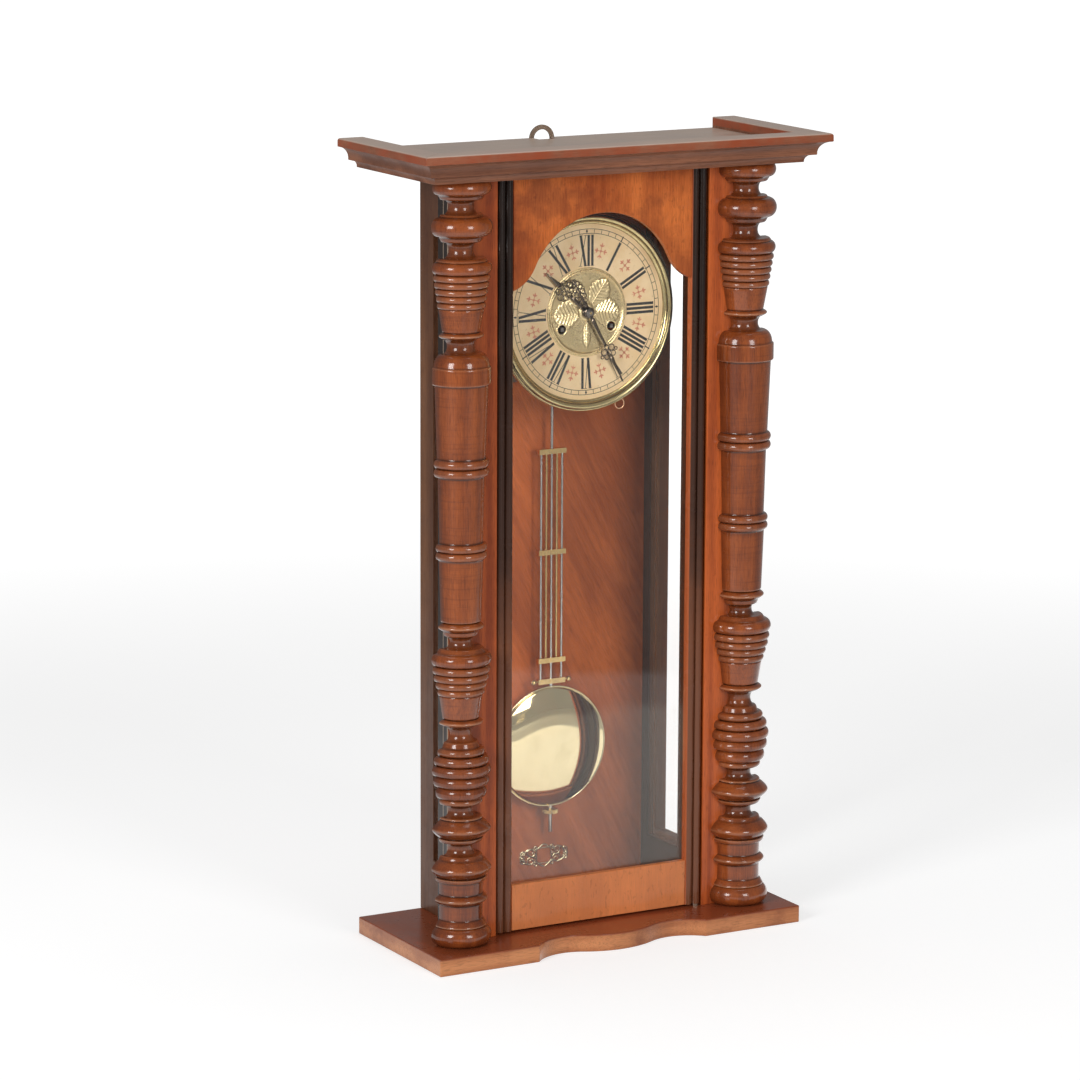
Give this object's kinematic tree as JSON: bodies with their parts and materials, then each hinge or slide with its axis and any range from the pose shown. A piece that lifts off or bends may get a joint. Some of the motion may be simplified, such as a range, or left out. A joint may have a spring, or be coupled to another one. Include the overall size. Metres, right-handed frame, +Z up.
{
  "type": "vienna regulator wall clock",
  "caption": "Spring-driven wall clock in a glazed walnut case with turned half columns, arched door, gridiron pendulum and striking movement.",
  "frame": {"origin": "middle of the base board's rear lower edge, in the wall plane and the plane it stands on", "axes": "+Z up, +Y into the wall, the dial looks along -Y, +X to the right of someone facing the dial"},
  "size_m": [0.4396, 0.1788, 0.7805],
  "materials": {
    "walnut_dark": "old dark polish",
    "walnut_base": "worn polish, darker on top",
    "walnut_turned": "turned, french polished",
    "walnut_back": "flamed veneer, satin",
    "rail_veneer": "orange brown veneer, polished",
    "ebonised": "ebonised, satin",
    "clear_glass": "clear old glass",
    "iron": "black, matt",
    "steel": "plain steel",
    "blued_steel": "blued, pierced",
    "brass": "satin brass",
    "bob_brass": "polished brass",
    "dial_cream": "cream, printed black",
    "dial_pan": "plain",
    "copper_wire": "copper wire"
  },
  "bodies": {
    "case": {"base_board": "walnut_base", "back_board": "walnut_back", "left_side_frame": "walnut_dark", "right_side_frame": "walnut_dark", "left_side_glass": "clear_glass", "right_side_glass": "clear_glass", "top_board": "walnut_dark", "cornice_front": "walnut_dark", "cornice_left": "walnut_dark", "cornice_right": "walnut_dark", "left_pilaster": "walnut_turned", "right_pilaster": "walnut_turned", "left_column": "walnut_turned", "right_column": "walnut_turned", "hanger_plate": "iron", "case_screws": "steel", "beat_plate": "brass", "gong_coil": "steel", "gong_block": "iron", "movement_bracket": "iron", "hinge_pins": "steel", "front_plate": "brass", "back_plate": "brass", "plate_pillars": "brass", "suspension_cock": "brass", "dial_pan": "dial_pan", "chapter_ring": "dial_cream", "dial_centre": "brass", "bezel": "brass"},
    "door": {"door_left_stile": "ebonised", "door_right_stile": "ebonised", "door_top_rail": "rail_veneer", "door_bottom_rail": "rail_veneer", "door_glass": "clear_glass"},
    "pendulum": {"suspension_spring": "steel", "pendulum_rod": "steel", "steel_rods": "steel", "brass_rods": "brass", "crossbars": "brass", "bob": "bob_brass"},
    "rating_nut": {"rating_nut": "brass"},
    "anchor": {"anchor": "brass"},
    "escape_wheel": {"escape_wheel": "brass"},
    "third_wheel": {"third_wheel": "brass"},
    "centre_wheel": {"centre_wheel": "brass"},
    "time_barrel": {"time_barrel": "brass"},
    "time_winding_arbor": {"time_winding_arbor": "steel"},
    "strike_winding_arbor": {"strike_winding_arbor": "steel"},
    "strike_barrel": {"strike_barrel": "brass"},
    "pin_wheel": {"pin_wheel": "brass"},
    "hammer": {"hammer": "brass"},
    "minute_hand": {"cannon_pinion": "brass", "minute_hand": "blued_steel", "hand_nut": "brass"},
    "minute_wheel": {"minute_wheel": "brass"},
    "hour_hand": {"hour_wheel": "brass", "hour_hand": "blued_steel"},
    "trip_wire": {"trip_wire": "copper_wire"}
  },
  "joints": [
    {"name": "door_hinge", "type": "hinge", "parent": "case", "child": "door", "pos_m": [0.10975, -0.1205, 0.38], "axis": [0, 0, 1], "range_deg": [0, 100]},
    {"name": "pendulum_swing", "type": "hinge", "parent": "case", "child": "pendulum", "pos_m": [0, -0.023, 0.665], "axis": [0, 1, 0], "range_deg": [-3.5, 3.5]},
    {"name": "anchor_rock", "type": "hinge", "parent": "case", "child": "anchor", "pos_m": [0, -0.05, 0.665], "axis": [0, 1, 0], "range_deg": [-3.5, 3.5]},
    {"name": "centre_wheel_spin", "type": "hinge", "parent": "case", "child": "centre_wheel", "pos_m": [0, -0.05, 0.61], "axis": [0, 1, 0], "continuous": true},
    {"name": "third_wheel_spin", "type": "hinge", "parent": "case", "child": "third_wheel", "pos_m": [0.01046, -0.05, 0.62935], "axis": [0, 1, 0], "continuous": true},
    {"name": "escape_wheel_spin", "type": "hinge", "parent": "case", "child": "escape_wheel", "pos_m": [0, -0.05, 0.644], "axis": [0, 1, 0], "continuous": true},
    {"name": "time_barrel_spin", "type": "hinge", "parent": "case", "child": "time_barrel", "pos_m": [-0.027, -0.05, 0.595], "axis": [0, 1, 0], "continuous": true},
    {"name": "time_winding", "type": "hinge", "parent": "case", "child": "time_winding_arbor", "pos_m": [-0.027, -0.05, 0.595], "axis": [0, 1, 0], "continuous": true},
    {"name": "strike_winding", "type": "hinge", "parent": "case", "child": "strike_winding_arbor", "pos_m": [0.027, -0.05, 0.595], "axis": [0, 1, 0], "continuous": true},
    {"name": "strike_barrel_spin", "type": "hinge", "parent": "case", "child": "strike_barrel", "pos_m": [0.027, -0.05, 0.595], "axis": [0, 1, 0], "continuous": true},
    {"name": "pin_wheel_spin", "type": "hinge", "parent": "case", "child": "pin_wheel", "pos_m": [0.03623, -0.05, 0.62037], "axis": [0, 1, 0], "continuous": true},
    {"name": "hammer_swing", "type": "hinge", "parent": "case", "child": "hammer", "pos_m": [0.039, -0.05, 0.65], "axis": [0, 1, 0], "range_deg": [-12, 1.5], "stiffness_Nm_per_rad": 0.12, "springref_deg": -0.2},
    {"name": "minute_hand_turn", "type": "hinge", "parent": "case", "child": "minute_hand", "pos_m": [0, -0.09, 0.61], "axis": [0, 1, 0], "continuous": true},
    {"name": "minute_wheel_spin", "type": "hinge", "parent": "case", "child": "minute_wheel", "pos_m": [0, -0.073, 0.598], "axis": [0, 1, 0], "continuous": true},
    {"name": "hour_hand_turn", "type": "hinge", "parent": "case", "child": "hour_hand", "pos_m": [0, -0.09, 0.61], "axis": [0, 1, 0], "continuous": true},
    {"name": "rating_nut_turn", "type": "hinge", "parent": "pendulum", "child": "rating_nut", "pos_m": [0, -0.023, 0.1045], "axis": [0, 0, 1], "continuous": true},
    {"name": "trip_wire_pull", "type": "hinge", "parent": "case", "child": "trip_wire", "pos_m": [0.046, -0.074, 0.562], "axis": [0, 1, 0], "range_deg": [0, 8], "stiffness_Nm_per_rad": 0.005}
  ],
  "couplings": [
    {"joint": "anchor_rock", "follows": "pendulum_swing", "ratio": 1},
    {"joint": "third_wheel_spin", "follows": "centre_wheel_spin", "ratio": -10},
    {"joint": "escape_wheel_spin", "follows": "centre_wheel_spin", "ratio": 90},
    {"joint": "time_barrel_spin", "follows": "centre_wheel_spin", "ratio": -0.083333},
    {"joint": "pin_wheel_spin", "follows": "strike_barrel_spin", "ratio": -8},
    {"joint": "minute_wheel_spin", "follows": "minute_hand_turn", "ratio": -0.33333},
    {"joint": "hour_hand_turn", "follows": "minute_hand_turn", "ratio": 0.083333}
  ]
}
